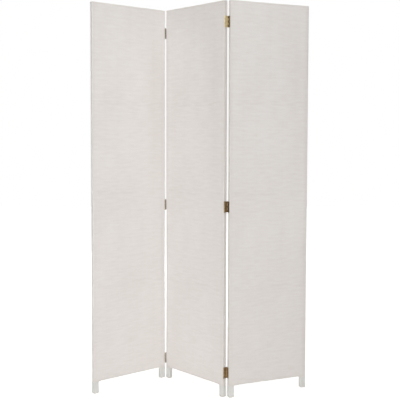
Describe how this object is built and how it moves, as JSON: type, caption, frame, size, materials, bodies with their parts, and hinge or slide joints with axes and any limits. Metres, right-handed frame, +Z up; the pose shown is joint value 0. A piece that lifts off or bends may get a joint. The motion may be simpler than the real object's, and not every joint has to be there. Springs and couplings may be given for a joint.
{
  "type": "folding screen",
  "caption": "Folding screen: woven paper-cord panels on wooden frames with bare legs, joined by double-action brass hinges so that each joint folds both ways.",
  "frame": {"origin": "on the floor, in the middle of the box that the open screen fills", "axes": "+Z up along the panels; the front, as pictured, faces -Y; +X is to the right seen from the front"},
  "size_m": [1.0022, 0.3096, 1.8],
  "materials": {
    "weave": "matt painted paper cord",
    "painted_wood": "brushed satin paint",
    "bare_wood": "planed, unpainted",
    "stakes": "planed, unpainted",
    "hinge_brass": "satin brass plate",
    "hinge_pins": "satin brass plate",
    "screws": "brass plated steel"
  },
  "bodies": {
    "middle_panel": {"middle_panel_left_stile": "painted_wood", "middle_panel_right_stile": "painted_wood", "middle_panel_top_rail": "painted_wood", "middle_panel_bottom_rail": "painted_wood", "middle_panel_upper_cross_rail": "bare_wood", "middle_panel_middle_cross_rail": "bare_wood", "middle_panel_lower_cross_rail": "bare_wood", "middle_panel_rail_dowels": "bare_wood", "middle_panel_stakes": "stakes", "middle_panel_weave": "weave", "middle_panel_hinge_screws": "screws", "left_hinge_top_back_leaf": "hinge_brass", "left_hinge_middle_back_leaf": "hinge_brass", "left_hinge_bottom_back_leaf": "hinge_brass", "right_hinge_top_front_leaf": "hinge_brass", "right_hinge_middle_front_leaf": "hinge_brass", "right_hinge_bottom_front_leaf": "hinge_brass"},
    "left_hinge_centre": {"left_hinge_top_centre_leaf": "hinge_brass", "left_hinge_middle_centre_leaf": "hinge_brass", "left_hinge_bottom_centre_leaf": "hinge_brass", "left_hinge_pins": "hinge_pins"},
    "left_panel": {"left_panel_outer_stile": "painted_wood", "left_panel_inner_stile": "painted_wood", "left_panel_top_rail": "painted_wood", "left_panel_bottom_rail": "painted_wood", "left_panel_upper_cross_rail": "bare_wood", "left_panel_middle_cross_rail": "bare_wood", "left_panel_lower_cross_rail": "bare_wood", "left_panel_rail_dowels": "bare_wood", "left_panel_stakes": "stakes", "left_panel_weave": "weave", "left_panel_hinge_screws": "screws", "left_hinge_top_front_leaf": "hinge_brass", "left_hinge_middle_front_leaf": "hinge_brass", "left_hinge_bottom_front_leaf": "hinge_brass"},
    "right_hinge_centre": {"right_hinge_top_centre_leaf": "hinge_brass", "right_hinge_middle_centre_leaf": "hinge_brass", "right_hinge_bottom_centre_leaf": "hinge_brass", "right_hinge_pins": "hinge_pins"},
    "right_panel": {"right_panel_inner_stile": "painted_wood", "right_panel_outer_stile": "painted_wood", "right_panel_top_rail": "painted_wood", "right_panel_bottom_rail": "painted_wood", "right_panel_upper_cross_rail": "bare_wood", "right_panel_middle_cross_rail": "bare_wood", "right_panel_lower_cross_rail": "bare_wood", "right_panel_rail_dowels": "bare_wood", "right_panel_stakes": "stakes", "right_panel_weave": "weave", "right_panel_hinge_screws": "screws", "right_hinge_top_back_leaf": "hinge_brass", "right_hinge_middle_back_leaf": "hinge_brass", "right_hinge_bottom_back_leaf": "hinge_brass"}
  },
  "joints": [
    {"name": "left_hinge_back_pin", "type": "hinge", "parent": "middle_panel", "child": "left_hinge_centre", "pos_m": [-0.15896, 0.15263, 0], "axis": [0, 0, 1], "range_deg": [-90, 0]},
    {"name": "left_hinge_front_pin", "type": "hinge", "parent": "left_hinge_centre", "child": "left_panel", "pos_m": [-0.17305, 0.13901, 0], "axis": [0, 0, 1], "range_deg": [-84, 96]},
    {"name": "right_hinge_front_pin", "type": "hinge", "parent": "middle_panel", "child": "right_hinge_centre", "pos_m": [0.10828, -0.15232, 0], "axis": [0, 0, 1], "range_deg": [-90, 0]},
    {"name": "right_hinge_back_pin", "type": "hinge", "parent": "right_hinge_centre", "child": "right_panel", "pos_m": [0.12238, -0.1387, 0], "axis": [0, 0, 1], "range_deg": [-68.4, 111.6]}
  ]
}
